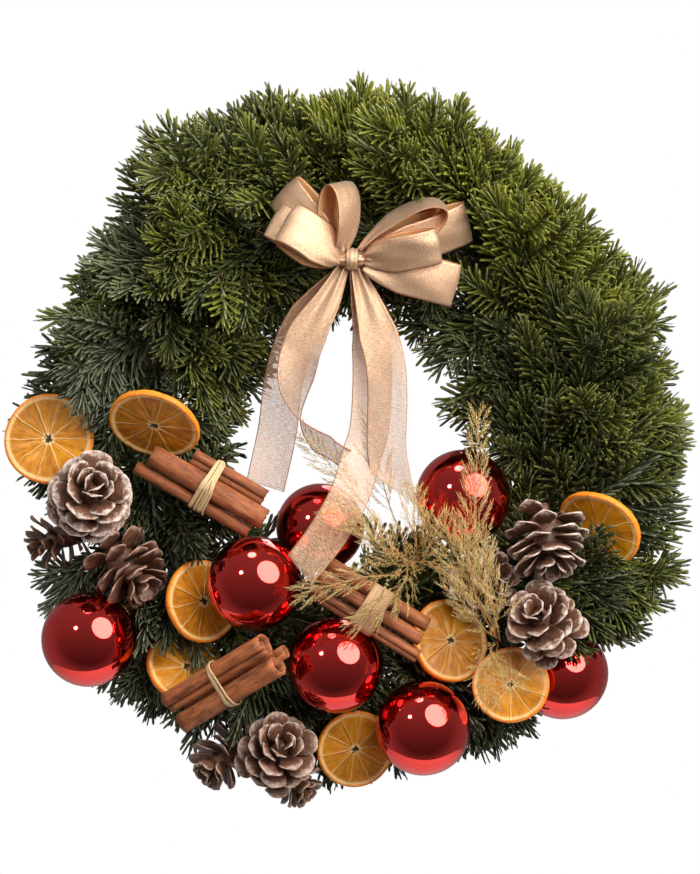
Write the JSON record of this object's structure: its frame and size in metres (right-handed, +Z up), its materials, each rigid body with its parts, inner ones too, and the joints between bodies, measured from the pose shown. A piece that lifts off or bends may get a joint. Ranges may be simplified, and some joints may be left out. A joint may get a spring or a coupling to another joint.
{
  "type": "door wreath",
  "caption": "Fir door wreath bound on a straw ring, dressed with shiny balls, dried orange slices, cones, cinnamon bundles, dried grass and a ribbon bow, on a wire loop for a door hook.",
  "frame": {"origin": "the point inside the top of the hanger loop where the door hook carries the wreath", "axes": "+Z up, +X to the right as seen from the front, the wreath faces -Y, and the door's face is the plane y = 0, which is the flat back of the straw ring"},
  "size_m": [0.4407, 0.1308, 0.463],
  "materials": {
    "straw": "bundled straw, wound tight",
    "wire": "green lacquered binding wire",
    "fir": "fresh waxy fir needles on brown twigs",
    "bauble": "mirror-bright metallic red",
    "cap": "thin bright gold cap",
    "orange": "dried translucent flesh, orange rind",
    "cone": "dry scales, some with pale frosted lips",
    "cinnamon": "dry rolled bark, matt",
    "raffia": "dry plant fibre",
    "ribbon": "shimmering champagne weave with copper edges",
    "grass": "dry golden grass"
  },
  "bodies": {
    "root": {"ring_base": "straw", "hanger_loop": "wire", "florists_wire": "wire", "fir_bunch_1": "fir", "fir_bunch_2": "fir", "fir_bunch_3": "fir", "fir_bunch_4": "fir", "fir_bunch_5": "fir", "fir_bunch_6": "fir", "fir_bunch_7": "fir", "fir_bunch_8": "fir", "bauble_1": "bauble", "bauble_2": "bauble", "bauble_3": "bauble", "bauble_4": "bauble", "bauble_5": "bauble", "bauble_6": "bauble", "bauble_7": "bauble", "bauble_cap_1": "cap", "bauble_cap_2": "cap", "bauble_cap_3": "cap", "bauble_cap_4": "cap", "bauble_cap_5": "cap", "bauble_cap_6": "cap", "bauble_cap_7": "cap", "orange_slice_1": "orange", "orange_slice_2": "orange", "orange_slice_3": "orange", "orange_slice_4": "orange", "orange_slice_5": "orange", "orange_slice_6": "orange", "orange_slice_7": "orange", "orange_slice_8": "orange", "pine_cone_1": "cone", "pine_cone_2": "cone", "pine_cone_3": "cone", "pine_cone_4": "cone", "pine_cone_5": "cone", "pine_cone_6": "cone", "pine_cone_7": "cone", "pine_cone_8": "cone", "pine_cone_9": "cone", "cinnamon_quill_1_1": "cinnamon", "cinnamon_quill_1_2": "cinnamon", "cinnamon_quill_1_3": "cinnamon", "cinnamon_quill_2_1": "cinnamon", "cinnamon_quill_2_2": "cinnamon", "cinnamon_quill_2_3": "cinnamon", "cinnamon_quill_3_1": "cinnamon", "cinnamon_quill_3_2": "cinnamon", "cinnamon_quill_3_3": "cinnamon", "raffia_tie_1": "raffia", "raffia_tie_2": "raffia", "raffia_tie_3": "raffia", "bow_loops": "ribbon", "bow_knot": "ribbon", "bow_tails": "ribbon", "dried_grass_1": "grass", "dried_grass_2": "grass"}
  },
  "joints": []
}
